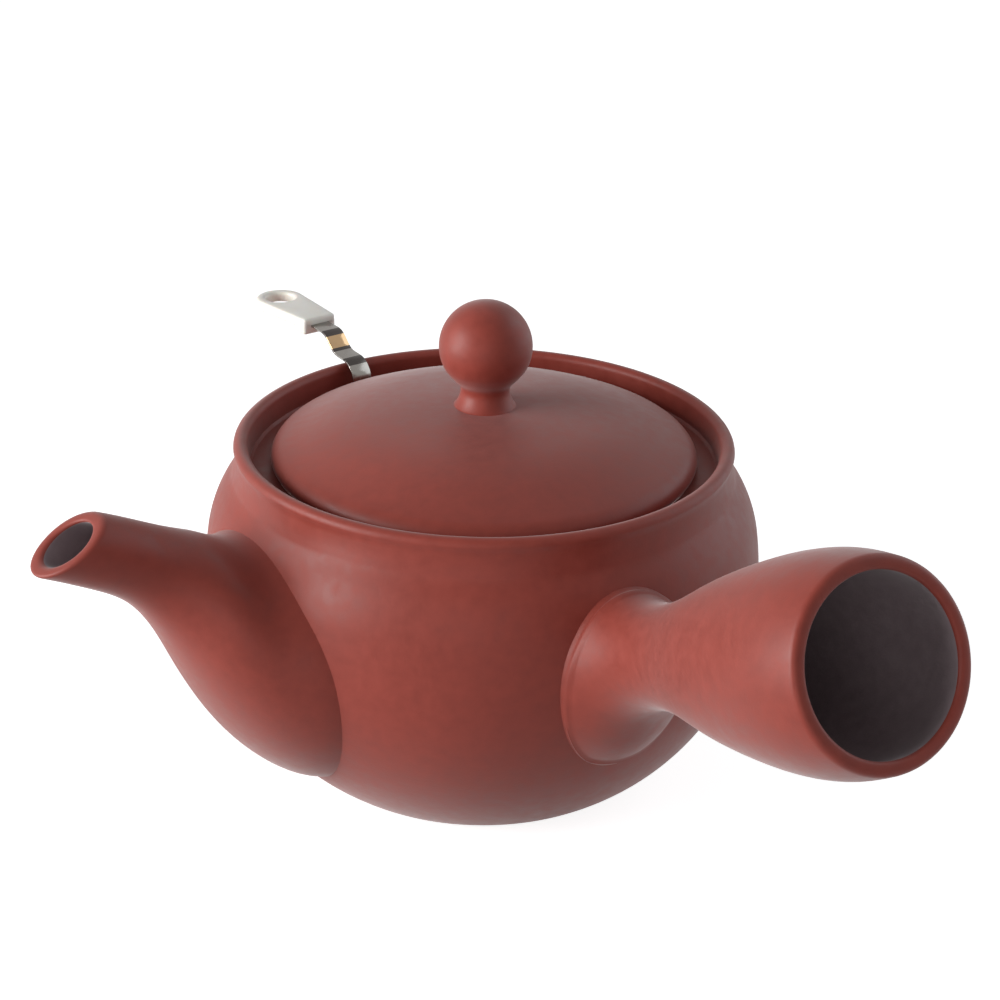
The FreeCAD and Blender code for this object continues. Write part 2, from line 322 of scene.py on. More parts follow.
@dataclass(frozen=True)
class FloorFinish:
    """White sweep that reads as white to the camera and keeps the pot's shadow."""

    colour: Triple = (0.55, 0.55, 0.55)
    lift: float = 0.86
    mirrored: float = 0.56

    def build(self) -> bpy.types.Material:
        """Makes the material.

        Returns:
            The floor material.
        """
        nodes = Nodes("white_sweep")
        rays = nodes.add("ShaderNodeLightPath")
        sheen = nodes.add("ShaderNodeMath", operation="MULTIPLY")
        nodes.join(rays.outputs["Is Glossy Ray"], sheen.inputs[0])
        sheen.inputs[1].default_value = self.mirrored
        seen = nodes.add("ShaderNodeMath", operation="MAXIMUM")
        nodes.join(rays.outputs["Is Camera Ray"], seen.inputs[0])
        nodes.join(sheen.outputs[0], seen.inputs[1])
        lift = nodes.add("ShaderNodeMath", operation="MULTIPLY")
        nodes.join(seen.outputs[0], lift.inputs[0])
        lift.inputs[1].default_value = self.lift
        glow = nodes.add("ShaderNodeEmission")
        nodes.join(lift.outputs[0], glow.inputs["Strength"])
        matt = nodes.add("ShaderNodeBsdfDiffuse", Color=(*self.colour, 1.0))
        both = nodes.add("ShaderNodeAddShader")
        nodes.join(matt.outputs[0], both.inputs[0])
        nodes.join(glow.outputs[0], both.inputs[1])
        return nodes.surface(both)


@dataclass
class Finishes:
    """Every finish of the object, made once."""

    clay: bpy.types.Material = field(init=False)
    drawn_clay: bpy.types.Material = field(init=False)
    hollow_painted_sheen: bpy.types.Material = field(init=False)
    sheet: bpy.types.Material = field(init=False)
    wire: bpy.types.Material = field(init=False)
    strap: bpy.types.Material = field(init=False)
    step: bpy.types.Material = field(init=False)
    bend: bpy.types.Material = field(init=False)
    plastic: bpy.types.Material = field(init=False)

    def __post_init__(self) -> None:
        """Makes the materials."""
        self.clay = ClayFinish().build()
        self.drawn_clay = ClayFinish("drawn_clay", turning=0.0).build()
        # The inner skin of spout and handle is clay painted greyer and paler than the outside, a painted
        # sheen that stands in for the grey veil of light in the hollows.
        self.hollow_painted_sheen = ClayFinish("hollow_painted_sheen_clay", (0.255, 0.195, 0.210), (0.305, 0.235, 0.250),
                                 (0.350, 0.275, 0.290), turning=0.0).build()
        self.sheet = SteelFinish("steel_sheet", lines=(0.05, 0.05, 1.0)).build()
        self.wire = SteelFinish("steel_wire", rough_low=0.22, rough_high=0.38, line_scale=700.0).build()
        # The strap's flats are painted darker than the sheet, a painted reflection of dark surroundings.
        self.strap = SteelFinish("steel_strap_painted_dark_reflection", (0.36, 0.335, 0.31), 0.14, 0.28).build()
        # The sloping step is painted tan, a painted reflection of a warm surface.
        self.step = SteelFinish("steel_step_painted_tan_reflection", (0.58, 0.39, 0.22), 0.06, 0.16).build()
        # The bends above the rim are painted near black, a painted reflection of dark surroundings.
        self.bend = SteelFinish("steel_bend_painted_dark_reflection", (0.095, 0.083, 0.078), 0.16, 0.30).build()
        self.plastic = PlasticFinish().build()


class Outline:
    """Outline of a turned piece in millimetres, drawn from point to point."""

    def __init__(self, r: float, z: float) -> None:
        """Starts the outline at a radius and a height."""
        self.points: list[Point] = [(r, z)]

    def lines(self, *points: Point, step: float = 0.0) -> "Outline":
        """Goes on straight to each point in turn.

        Args:
            *points: Places to go to.
            step: Spacing of points along each run, or 0 for none between.

        Returns:
            The outline.
        """
        for r, z in points:
            r0, z0 = self.points[-1]
            count = max(1, int(math.hypot(r - r0, z - z0) / step)) if step else 1
            shares = [i / count for i in range(1, count + 1)]
            self.points += [(r0 + (r - r0) * share, z0 + (z - z0) * share) for share in shares]
        return self

    def flow(self, heading: Point, *points: Point, steps: int = 12) -> "Outline":
        """Goes on through points in arcs that run smoothly into each other.

        Args:
            heading: First direction.
            *points: Places to go through.
            steps: Points on each arc.

        Returns:
            The outline.
        """
        turn = math.atan2(heading[1], heading[0])
        for r, z in points:
            r0, z0 = self.points[-1]
            chord = math.atan2(z - z0, r - r0)
            swing = (chord - turn + math.pi) % (2 * math.pi) - math.pi
            length = math.hypot(r - r0, z - z0)
            for i in range(1, steps + 1):
                share = i / steps
                reach = length * (math.sin(share * swing) / math.sin(swing) if abs(swing) > 1e-6 else share)
                angle = chord - swing * (1 - share)
                self.points.append((r0 + reach * math.cos(angle), z0 + reach * math.sin(angle)))
            turn = chord + swing
        return self

    def bead(self, centre: Point, radius: float, start: float, end: float, steps: int = 12) -> "Outline":
        """Goes round part of a circle.

        Args:
            centre: Middle of the circle.
            radius: Its radius.
            start: First angle in degrees.
            end: Last angle in degrees.
            steps: Runs along it.

        Returns:
            The outline.
        """
        for i in range(steps + 1):
            angle = math.radians(start + (end - start) * i / steps)
            self.points.append((centre[0] + radius * math.cos(angle), centre[1] + radius * math.sin(angle)))
        return self

    def soften(self, low: float, high: float, passes: int) -> "Outline":
        """Smooths the points drawn so far between two heights.

        Args:
            low: Lowest height that moves.
            high: Highest height that moves.
            passes: How often neighbours are averaged.

        Returns:
            The outline.
        """
        for _ in range(passes):
            old = self.points
            self.points = [
                ((a[0] + 2 * b[0] + c[0]) / 4, (a[1] + 2 * b[1] + c[1]) / 4) if low < b[1] < high else b
                for a, b, c in zip([old[0], *old], old, [*old[1:], old[-1]])
            ]
        return self


class Skin:
    """A mesh under construction, and the ways to finish it as a piece."""

    def __init__(self) -> None:
        """Starts an empty mesh."""
        self.mesh = bmesh.new()

    def turn(self, points: list[Point], steps: int) -> "Skin":
        """Spins an outline about the pot's axis.

        Args:
            points: Outline in millimetres.
            steps: Facets round the axis.

        Returns:
            The skin.
        """
        verts = [self.mesh.verts.new((r * MM, 0, z * MM)) for r, z in points]
        edges = [self.mesh.edges.new(pair) for pair in zip(verts, verts[1:])]
        bmesh.ops.spin(self.mesh, geom=verts + edges, cent=(0, 0, 0), axis=(0, 0, 1),
                       angle=2 * math.pi, steps=steps, use_merge=True)
        return self

    def loft(self, rings: list[list[Vector]], closed: bool, finish_of: dict[int, int]) -> "Skin":
        """Draws a skin through rings with equal numbers of points.

        Args:
            rings: Points of each ring in metres.
            closed: Whether the last ring joins the first; otherwise both ends are capped.
            finish_of: Number of the finish of each span between rings, where it isn't the first one.

        Returns:
            The skin.
        """
        ring = bmesh.ops.create_circle(self.mesh, cap_ends=False, segments=len(rings[0]), radius=1.0)["verts"]
        for vert, place in zip(ring, rings[0]):
            vert.co = place
        first = ring
        for count, places in enumerate([*rings[1:], *(rings[:1] if closed else [])]):
            edges = [self.mesh.edges.get((a, b)) for a, b in zip(ring, [*ring[1:], ring[0]])]
            made = bmesh.ops.extrude_edge_only(self.mesh, edges=edges)["geom"]
            fresh = {item for item in made if isinstance(item, bmesh.types.BMVert)}
            for item in made:
                if isinstance(item, bmesh.types.BMFace):
                    item.material_index = finish_of.get(count, 0)
            ring = [next(e.other_vert(v) for e in v.link_edges if e.other_vert(v) in fresh) for v in ring]
            for vert, place in zip(ring, places):
                vert.co = place
        if not closed:
            bmesh.ops.contextual_create(self.mesh, geom=first)
            bmesh.ops.contextual_create(self.mesh, geom=ring)
        return self

    def piece(self, name: str, *materials: bpy.types.Material, crease: float = 38.0) -> bpy.types.Object:
        """Closes the mesh and makes an object of it.

        Args:
            name: Name of the piece.
            *materials: Its finishes.
            crease: Angle in degrees past which an edge stays sharp.

        Returns:
            The object.
        """
        bmesh.ops.remove_doubles(self.mesh, verts=self.mesh.verts, dist=1e-6)
        bmesh.ops.dissolve_degenerate(self.mesh, edges=self.mesh.edges, dist=1e-7)
        bmesh.ops.recalc_face_normals(self.mesh, faces=self.mesh.faces)
        data = bpy.data.meshes.new(name)
        self.mesh.to_mesh(data)
        self.mesh.free()
        for material in materials:
            data.materials.append(material)
        return show(name, data, crease)


def show(name: str, data: bpy.types.Mesh, crease: float) -> bpy.types.Object:
    """Puts a mesh into the scene, shaded smooth with sharp creases.

    Args:
        name: Name of the object.
        data: Its mesh.
        crease: Angle in degrees past which an edge stays sharp.

    Returns:
        The object.
    """
    data.polygons.foreach_set("use_smooth", [True] * len(data.polygons))
    data.set_sharp_from_angle(angle=math.radians(crease))
    piece = bpy.data.objects.new(name, data)
    bpy.context.scene.collection.objects.link(piece)
    return piece


def place(piece: bpy.types.Object, body: Body, slot: Slot, *nodes: str) -> bpy.types.Object:
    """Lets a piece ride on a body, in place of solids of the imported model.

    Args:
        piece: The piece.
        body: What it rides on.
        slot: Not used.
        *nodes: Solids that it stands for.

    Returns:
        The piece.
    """
    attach(piece, body.value)
    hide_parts(*nodes)
    LOG.info("%s: %d faces on %s", piece.name, len(piece.data.polygons), body.value)
    return piece


@dataclass
class Pot:
    """Turned hollow pot with its collar, and the hole behind the spout."""

    base_r: float = 33.8
    belly_r: float = 55.95
    belly_z: float = 39.3
    belly_arc: float = 47.85
    foot_z: float = 1.2
    wall: float = 3.0
    floor: float = 4.0
    floor_bend: float = 2.4
    shoulder: tuple[Point, ...] = ((55.1, 50.0), (53.3, 56.0), (50.0, 61.4))
    collar_foot: Point = (49.7, 62.8)
    groove: Point = (58.8, 65.6)
    groove_passes: int = 22
    rim_r: float = 49.5
    rim_top: float = 68.9
    rim_round: float = 1.45
    neck_in: float = 46.4
    ledge_z: float = 63.1
    ledge_ease: float = 0.5
    throat_r: float = 39.6
    throat_ease: float = 0.6
    throat_low: float = 60.4
    hollow_shoulder: tuple[Point, ...] = ((47.6, 56.8), (51.9, 50.0))
    hole_r: float = 8.0
    hole_z: float = 36.0
    hole_turn: float = 184.8
    facets: int = 240
    belly_steps: int = 40
    hollow_steps: int = 30
    crease: float = 38.0
    heights: list[float] = field(init=False)
    radii: list[float] = field(init=False)

    def __post_init__(self) -> None:
        """Keeps the outside's heights and radii for the tubes that are luted on."""
        rising = self.outside().points[1:]
        self.heights = [point[1] for point in rising]
        self.radii = [point[0] for point in rising]

    def round_r(self, z: float, inset: float) -> float:
        """Radius of the round lower belly at a height, less an inset."""
        radius = self.belly_arc - inset
        return self.belly_r - self.belly_arc + math.sqrt(radius ** 2 - (self.belly_z - z) ** 2)

    def outside(self) -> Outline:
        """Draws the outside from the middle of the base up to the rim.

        Returns:
            The outline.
        """
        line = Outline(0, 0).lines((self.base_r, 0))
        line.flow((1, 0), (self.round_r(self.foot_z, 0), self.foot_z), steps=5)
        rise = self.belly_z - self.foot_z
        for i in range(1, self.belly_steps + 1):
            z = self.foot_z + rise * i / self.belly_steps
            line.points.append((self.round_r(z, 0), z))
        line.flow((0, 1), *self.shoulder, steps=16)
        line.flow((0, 1), self.collar_foot, (self.rim_r, self.rim_top - self.rim_round), steps=10)
        return line.soften(*self.groove, self.groove_passes)

    def profile(self) -> list[Point]:
        """Draws the whole closed outline.

        Returns:
            Points from the middle of the base round to the middle of the floor inside.
        """
        line = self.outside()
        centre = (self.rim_r - self.rim_round, self.rim_top - self.rim_round)
        line.bead(centre, self.rim_round, 8, 180, 14)
        ease = self.throat_ease
        line.lines((self.neck_in, self.ledge_z + self.ledge_ease), step=0.8)
        line.lines((self.neck_in - self.ledge_ease, self.ledge_z), (self.throat_r + ease, self.ledge_z),
                   (self.throat_r + ease / 4, self.ledge_z - ease / 4),
                   (self.throat_r, self.ledge_z - ease), (self.throat_r, self.throat_low))
        line.lines(*Outline(self.throat_r, self.throat_low).flow(
            (1, -0.2), *self.hollow_shoulder, (self.belly_r - self.wall, self.belly_z)).points[1:])
        low = self.floor + self.floor_bend
        for i in range(1, self.hollow_steps + 1):
            z = self.belly_z + (low - self.belly_z) * i / self.hollow_steps
            line.points.append((self.round_r(z, self.wall), z))
        flat = self.round_r(self.floor, self.wall) - self.floor_bend
        line.flow((-0.7, -1), (flat, self.floor), steps=6)
        return line.lines((0, self.floor)).points

    def reach(self, z: float) -> float:
        """Outside radius at a height, in millimetres."""
        return float(np.interp(z, self.heights, self.radii))

    def drill(self) -> bpy.types.Object:
        """Makes the tool that bores the hole behind the spout.

        Returns:
            A rod from the pot's axis out to its wall.
        """
        mesh = bmesh.new()
        radius = self.hole_r * MM
        bmesh.ops.create_cone(mesh, cap_ends=True, segments=48, radius1=radius, radius2=radius,
                              depth=self.belly_r * MM)
        bmesh.ops.rotate(mesh, verts=mesh.verts, matrix=Matrix.Rotation(math.radians(90), 3, "Y"))
        bmesh.ops.translate(mesh, verts=mesh.verts, vec=(self.belly_r / 2 * MM, 0, self.hole_z * MM))
        bmesh.ops.rotate(mesh, verts=mesh.verts,
                         matrix=Matrix.Rotation(math.radians(self.hole_turn), 3, "Z"))
        data = bpy.data.meshes.new("drill")
        mesh.to_mesh(data)
        mesh.free()
        tool = bpy.data.objects.new("drill", data)
        bpy.context.scene.collection.objects.link(tool)
        return tool

    def build(self, finishes: Finishes) -> bpy.types.Object:
        """Makes the pot.

        Args:
            finishes: Every finish.

        Returns:
            The pot's piece.
        """
        whole = Skin().turn(self.profile(), self.facets).piece("clay_pot", finishes.clay, crease=self.crease)
        tool = self.drill()
        cut = whole.modifiers.new("pour_hole", "BOOLEAN")
        cut.operation = "DIFFERENCE"
        cut.solver = "EXACT"
        cut.object = tool
        bored = bpy.data.meshes.new_from_object(whole.evaluated_get(bpy.context.evaluated_depsgraph_get()))
        whole.modifiers.clear()
        whole.data = bored
        bored.set_sharp_from_angle(angle=math.radians(self.crease))
        bpy.data.objects.remove(tool)
        return place(whole, Body.POT, Slot.CLAY, "pot_base", "pot_body", "pot_collar")


@dataclass
class ClayTube:
    """Hollow tube drawn through oval stations, luted onto the pot and cut off at its mouth.

    A station is (distance from the pot's axis, height, rise in degrees, height above its middle,
    depth below it, half width), in millimetres, before the tube is turned about the pot's axis.
    """

    name: str
    node: str
    pot: Pot
    stations: tuple[tuple[float, ...], ...]
    turn: float
    wall: float
    mouth: Point
    mouth_rise: float
    lip: float
    bead: float = 0.0
    bead_at: float = 2.6
    bead_half: float = 0.35
    sunk: float = 0.9
    around: int = 112
    along: int = 72
    lip_steps: int = 6
    crowding: float = 1.5
    halvings: int = 26
    crease: float = 60.0
    knots: np.ndarray = field(init=False)
    values: np.ndarray = field(init=False)
    bends: np.ndarray = field(init=False)

    def __post_init__(self) -> None:
        """Fits a smooth spline through the stations."""
        values = np.array(self.stations, float)
        steps = np.linalg.norm(np.diff(values[:, :2], axis=0), axis=1)
        self.knots = np.concatenate([[0.0], np.cumsum(steps)])
        self.values = values
        count = len(values)
        system = np.eye(count)
        right = np.zeros_like(values)
        for i in range(1, count - 1):
            before, after = steps[i - 1], steps[i]
            system[i, i - 1:i + 2] = before, 2 * (before + after), after
            right[i] = 6 * ((values[i + 1] - values[i]) / after - (values[i] - values[i - 1]) / before)
        self.bends = np.linalg.solve(system, right)

    def station(self, length: float) -> np.ndarray:
        """Works out the station at a length from the outer end.

        Args:
            length: Millimetres along the stations' middles.

        Returns:
            The station's six numbers.
        """
        i = int(np.clip(np.searchsorted(self.knots, length) - 1, 0, len(self.knots) - 2))
        span = self.knots[i + 1] - self.knots[i]
        a = (self.knots[i + 1] - length) / span
        b = 1 - a
        return (a * self.values[i] + b * self.values[i + 1]
                + ((a ** 3 - a) * self.bends[i] + (b ** 3 - b) * self.bends[i + 1]) * span ** 2 / 6)

    def spot(self, length: float, turn: float, inset: float) -> Vector:
        """Works out a point of the tube's skin.

        Args:
            length: Millimetres along the stations' middles.
            turn: Angle round the section.
            inset: How far inside the outer skin.

        Returns:
            The point in millimetres, before the tube is turned about the pot's axis.
        """
        along, height, rise, above, below, wide = self.station(length)
        angle = math.radians(rise)
        tall = (above if math.sin(turn) >= 0 else below) - inset
        lift = tall * math.sin(turn)
        return Vector((along - math.sin(angle) * lift, (wide - inset) * math.cos(turn),
                       height + math.cos(angle) * lift))

    def past_mouth(self, spot: Vector) -> float:
        """How far a point lies outside the plane of the mouth, in millimetres."""
        angle = math.radians(self.mouth_rise)
        return (spot.x - self.mouth[0]) * math.cos(angle) + (spot.z - self.mouth[1]) * math.sin(angle)

    def clear_of_pot(self, spot: Vector) -> float:
        """How far a point lies outside the sunken end of the tube in the pot's wall."""
        return math.hypot(spot.x, spot.y) - self.pot.reach(spot.z) + self.sunk

    def meridian(self, turn: float, inset: float) -> tuple[float, float]:
        """Finds where a line along the tube's skin leaves the pot and where it meets the mouth.

        Args:
            turn: Angle round the section.
            inset: How far inside the outer skin.

        Returns:
            Lengths of the mouth's end and of the pot's end.
        """
        ends = []
        low, high = 0.0, self.knots[-1]
        for test in (self.past_mouth, self.clear_of_pot):
            a, b = low, high
            for _ in range(self.halvings):
                middle = (a + b) / 2
                if test(self.spot(middle, turn, inset)) > 0:
                    a = middle
                else:
                    b = middle
            ends.append((a + b) / 2)
            low = ends[0]
        return ends[0], ends[1]

    def strip(self, turn: float) -> list[Vector]:
        """Draws one line from the pot along the outside, over the lip and back along the inside.

        Args:
            turn: Angle round the section.

        Returns:
            Points in millimetres.
        """
        mouth_out, pot_out = self.meridian(turn, 0.0)
        mouth_in, pot_in = self.meridian(turn, self.wall)
        corner_out = self.spot(mouth_out, turn, 0.0)
        corner_in = self.spot(mouth_in, turn, self.wall)
        across = (corner_in - corner_out).normalized() * self.lip
        start_out = mouth_out + self.lip
        start_in = mouth_in + self.lip
        shares = [(i / self.along) ** self.crowding for i in range(self.along + 1)]
        points = []
        for share in shares:
            gone = (pot_out - start_out) * share
            swell = self.bead * math.exp(-((gone - self.bead_at) / self.bead_half) ** 2)
            points.append(self.spot(pot_out - gone, turn, -swell))
        points += rounded(points[-1], corner_out, corner_out + across, self.lip_steps)[1:]
        inner = [self.spot(start_in + (pot_in - start_in) * i / self.along, turn, self.wall)
                 for i in range(self.along + 1)]
        points += rounded(corner_in - across, corner_in, inner[0], self.lip_steps)
        return points + inner[1:]

    def build(self, finishes: Finishes) -> bpy.types.Object:
        """Makes the tube.

        Args:
            finishes: Every finish.

        Returns:
            The tube's piece.
        """
        strips = [self.strip(2 * math.pi * i / self.around) for i in range(self.around)]
        swing = Matrix.Rotation(math.radians(self.turn), 3, "Z") * MM
        rings = [[swing @ spot for spot in ring] for ring in zip(*strips)]
        # Spans of the inner skin take the second finish, the clay with the painted sheen.
        inside = range(self.along + 2 * self.lip_steps, len(rings))
        skin = Skin().loft(rings, True, dict.fromkeys(inside, 1))
        piece = skin.piece(self.name, finishes.drawn_clay, finishes.hollow_painted_sheen, crease=self.crease)
        return place(piece, Body.POT, Slot.CLAY, self.node)


def rounded(first: Vector, corner: Vector, last: Vector, steps: int) -> list[Vector]:
    """Rounds a corner.

    Args:
        first: Where the rounding starts.
        corner: The corner itself.
        last: Where it ends.
        steps: Runs along it.

    Returns:
        Points along the rounding, both ends included.
    """
    shares = [i / steps for i in range(steps + 1)]
    return [first * (1 - s) ** 2 + corner * (2 * s * (1 - s)) + last * s ** 2 for s in shares]


def spout(pot: Pot) -> ClayTube:
    """Gives the sizes of the S-shaped spout.

    Args:
        pot: The pot that it is luted onto.

    Returns:
        The spout, ready to build.
    """
    return ClayTube("clay_spout", "spout", pot, (
        (99.9, 72.3, 24.0, 6.6, 6.6, 6.6),
        (90.5, 68.0, 24.0, 6.6, 6.6, 6.6),
        (81.6, 63.8, 26.0, 6.9, 6.9, 7.1),
        (72.5, 58.1, 27.8, 8.0, 8.0, 8.7),
        (68.5, 53.9, 21.2, 10.1, 10.1, 11.8),
        (64.6, 48.5, 14.5, 13.4, 13.4, 16.2),
        (56.9, 39.3, 7.5, 19.4, 19.5, 22.4),
        (49.0, 35.2, 0.0, 23.6, 25.4, 26.6),
        (38.0, 35.0, 0.0, 24.0, 27.6, 27.4),
    ), turn=184.8, wall=2.2, mouth=(88.5, 67.13), mouth_rise=58.0, lip=1.05)


def handle(pot: Pot) -> ClayTube:
    """Gives the sizes of the hollow side handle, whose straight axis rises from the pot.

    Args:
        pot: The pot that it is luted onto.

    Returns:
        The handle, ready to build.
    """
    rise = 25.2
    low = 19.8
    angle = math.radians(rise)
    sizes = ((139.0, 15.8, 15.8), (135.45, 16.5, 16.5), (130.0, 17.5, 17.5), (122.0, 17.8, 17.8),
             (110.0, 16.5, 16.5), (95.0, 13.5, 13.5), (80.0, 9.9, 9.9), (72.0, 9.6, 9.6),
             (64.0, 12.2, 11.4), (57.0, 17.0, 14.8), (48.0, 21.0, 18.2))
    stations = tuple((math.cos(angle) * along, low + math.sin(angle) * along, rise, tall, tall, wide)
                     for along, tall, wide in sizes)
    return ClayTube("clay_handle", "handle", pot, stations, turn=-90.0, wall=2.5,
                    mouth=stations[1][:2], mouth_rise=rise, lip=1.1, bead=0.4)


@dataclass
class Cover:
    """Domed lid with its locating skirt, and the round knob on it."""

    seat: Point = (6.6, 74.9)
    dome: tuple[Point, ...] = ((22.0, 73.6), (33.0, 70.8), (39.8, 68.0))
    edge: tuple[Point, ...] = ((41.45, 66.75), (42.2, 65.4), (41.2, 63.8))
    under: float = 63.8
    thick: float = 3.2
    skirt_r: float = 37.0
    skirt_wall: float = 2.6
    skirt_low: float = 57.6
    skirt_round: float = 0.7
    skirt_root: tuple[Point, ...] = ((0.5, 0.0), (0.12, -0.15), (0.0, -0.6))
    inner: tuple[Point, ...] = ((34.4, 66.0), (20.0, 70.1))
    knob_foot: float = 6.2
    knob_waist: Point = (4.7, 78.1)
    knob_neck: float = 5.3
    knob_flare: float = 0.5
    knob_r: float = 9.15
    knob_z: float = 87.1
    sunk: float = 0.3
    facets: int = 220
    knob_facets: int = 96

    def lid_profile(self) -> list[Point]:
        """Draws the lid's closed outline.

        Returns:
            Points from the middle of the top round to the middle of the underside.
        """
        line = Outline(0, self.seat[1]).lines(self.seat, step=1.5)
        line.flow((1, -0.03), *self.dome, steps=12)
        line.flow((0.9, -0.42), *self.edge, steps=7)
        line.lines(*((self.skirt_r + out, self.under + up) for out, up in self.skirt_root))
        radius = self.skirt_round
        level = self.skirt_low + radius
        inside = self.skirt_r - self.skirt_wall
        line.lines((self.skirt_r, level))
        line.bead((self.skirt_r - radius, level), radius, 0, -90, 5)
        line.bead((inside + radius, level), radius, -90, -180, 5)
        line.lines((inside, self.inner[0][1] - 1.0))
        line.flow((-0.2, 1), self.inner[0], steps=3).flow((-1, 0.5), self.inner[1], steps=8)
        return line.flow((-1, 0.13), (0, self.seat[1] - self.thick), steps=10).points

    def knob_profile(self) -> list[Point]:
        """Draws the knob's closed outline.

        Returns:
            Points from the middle of its foot round to its top.
        """
        join = self.knob_z - math.sqrt(self.knob_r ** 2 - self.knob_neck ** 2)
        bottom = self.seat[1] - self.sunk
        flare = self.knob_flare
        line = Outline(0, bottom).lines((self.knob_foot + flare, bottom))
        line.flow((-1, 0.35), (self.knob_foot - flare, self.seat[1] + flare), self.knob_waist, steps=10)
        line.flow((-0.05, 1), (self.knob_neck, join), steps=6)
        start = math.degrees(math.asin((join - self.knob_z) / self.knob_r))
        line.bead((0, self.knob_z), self.knob_r, start, 90, 48)
        return line.soften(self.seat[1] + 0.1, join + 2.5, 14).points

    def build(self, finishes: Finishes) -> list[bpy.types.Object]:
        """Makes the lid and the knob.

        Args:
            finishes: Every finish.

        Returns:
            The two pieces.
        """
        lid = Skin().turn(self.lid_profile(), self.facets).piece("clay_lid", finishes.clay)
        knob = Skin().turn(self.knob_profile(), self.knob_facets).piece("clay_knob", finishes.clay)
        return [place(lid, Body.COVER, Slot.CLAY, "lid"), place(knob, Body.COVER, Slot.CLAY, "lid_knob")]


@dataclass
class Basket:
    """Lift-out strainer: pressed rim, woven wire wall and floor, and folded seam."""

    sheet: float = 0.5
    flange_z: float = 63.2
    flange_r: float = 41.6
    collar_r: float = 38.8
    collar_low: float = 55.5
    collar_bend: float = 1.0
    flange_bend: float = 0.35
    net_low: float = 14.6
    net_low_r: float = 34.6
    net_top: float = 57.8
    seam_r: float = 35.3
    seam_low: float = 13.4
    seam_top: float = 17.0
    seam_inner: float = 32.7
    seam_bend: float = 0.9
    seam_lip: float = 0.22
    seam_fold: float = 0.3
    seam_clear: float = 0.03
    wire: float = 0.15
    wave: float = 0.1425
    pitch: float = 1.05
    facets: int = 200
    wire_crease: float = 80.0

    def rim_profile(self) -> list[Point]:
        """Draws the closed outline of the rim's pressed sheet.

        Returns:
            Points round the sheet's section.
        """
        half = self.sheet / 2
        inside = self.collar_r - self.sheet
        top = self.flange_z + self.sheet
        bend = self.collar_bend
        foot = self.flange_bend
        line = Outline(inside, self.collar_low + half).bead(
            (inside + half, self.collar_low + half), half, 180, 360, 8)
        line.lines((self.collar_r, self.flange_z - foot))
        line.bead((self.collar_r + foot, self.flange_z - foot), foot, 180, 90, 5)
        line.bead((self.flange_r - half, self.flange_z + half), half, -90, 90, 8)
        line.bead((inside + bend, top - bend), bend, 90, 180, 7)
        return line.lines((inside, self.collar_low + half)).points

    def seam_profile(self) -> list[Point]:
        """Draws the closed outline of the folded seam round the floor.

        Returns:
            Points round the seam's section.
        """
        low = self.seam_low
        half = self.sheet / 2
        bend = self.seam_bend
        lip = self.seam_lip
        line = Outline(self.seam_inner, low + half)
        line.bead((self.seam_inner + half, low + half), half, 180, 270, 4)
        line.bead((self.seam_r - bend, low + bend), bend, -90, 0, 7)
        line.lines((self.seam_r, self.seam_top - lip))
        line.bead((self.seam_r - lip, self.seam_top - lip), lip, 0, 90, 4)
        line.lines((self.net_r(self.seam_top) + self.seam_clear, self.seam_top),
                   (self.net_low_r + self.seam_clear, self.net_low),
                   (self.net_low_r - self.seam_fold, low + self.sheet),
                   (self.seam_inner + half, low + self.sheet))
        return line.lines((self.seam_inner, low + half)).points

    def net_r(self, z: float) -> float:
        """Outside radius of the tapered net at a height."""
        slope = (self.collar_r - self.sheet - self.net_low_r) / (self.collar_low - self.net_low)
        return min(self.net_low_r + slope * (z - self.net_low), self.collar_r - self.sheet)

    def woven(self, name: str, wires: list[Wire], material: bpy.types.Material) -> bpy.types.Object:
        """Makes a net of thin round wires.

        Args:
            name: Name of the piece.
            wires: Points of each wire in millimetres, and whether it closes on itself.
            material: Finish of the wire.

        Returns:
            The net's piece.
        """
        path = bpy.data.curves.new(name, "CURVE")
        path.dimensions = "3D"
        path.bevel_depth = self.wire * MM
        path.bevel_resolution = 0
        path.use_fill_caps = True
        for points, closed in wires:
            spline = path.splines.new("POLY")
            spline.points.add(len(points) - 1)
            for knot, spot in zip(spline.points, points):
                knot.co = (*(spot * MM), 1.0)
            spline.use_cyclic_u = closed
        draft = bpy.data.objects.new(name + "_path", path)
        bpy.context.scene.collection.objects.link(draft)
        data = bpy.data.meshes.new_from_object(draft.evaluated_get(bpy.context.evaluated_depsgraph_get()))
        bpy.data.objects.remove(draft)
        data.materials.clear()
        data.materials.append(material)
        return show(name, data, self.wire_crease)

    def crossing(self, around: float, up: float, side: int) -> Vector:
        """Finds where a wire passes a crossing of the wall.

        Args:
            around: Share of the way round.
            up: Share of the way up.
            side: 1 where the wire passes outside, -1 where it passes inside.

        Returns:
            The point in millimetres.
        """
        z = self.net_low + (self.net_top - self.net_low) * up
        r = self.net_r(z) - self.sheet / 2 + side * self.wave
        turn = 2 * math.pi * around
        return Vector((r * math.cos(turn), r * math.sin(turn), z))

    def wall_wires(self) -> list[Wire]:
        """Weaves uprights and hoops round the tapered wall.

        Returns:
            Points of each wire, and whether it closes on itself.
        """
        columns = 2 * int(math.pi * self.collar_r / self.pitch)
        rows = int((self.net_top - self.net_low) / self.pitch)
        uprights = [([self.crossing(c / columns, r / rows, 1 if (c + r) % 2 else -1)
                      for r in range(rows + 1)], False) for c in range(columns)]
        hoops = [([self.crossing(c / columns, r / rows, -1 if (c + r) % 2 else 1)
                   for c in range(columns)], True) for r in range(1, rows)]
        return uprights + hoops

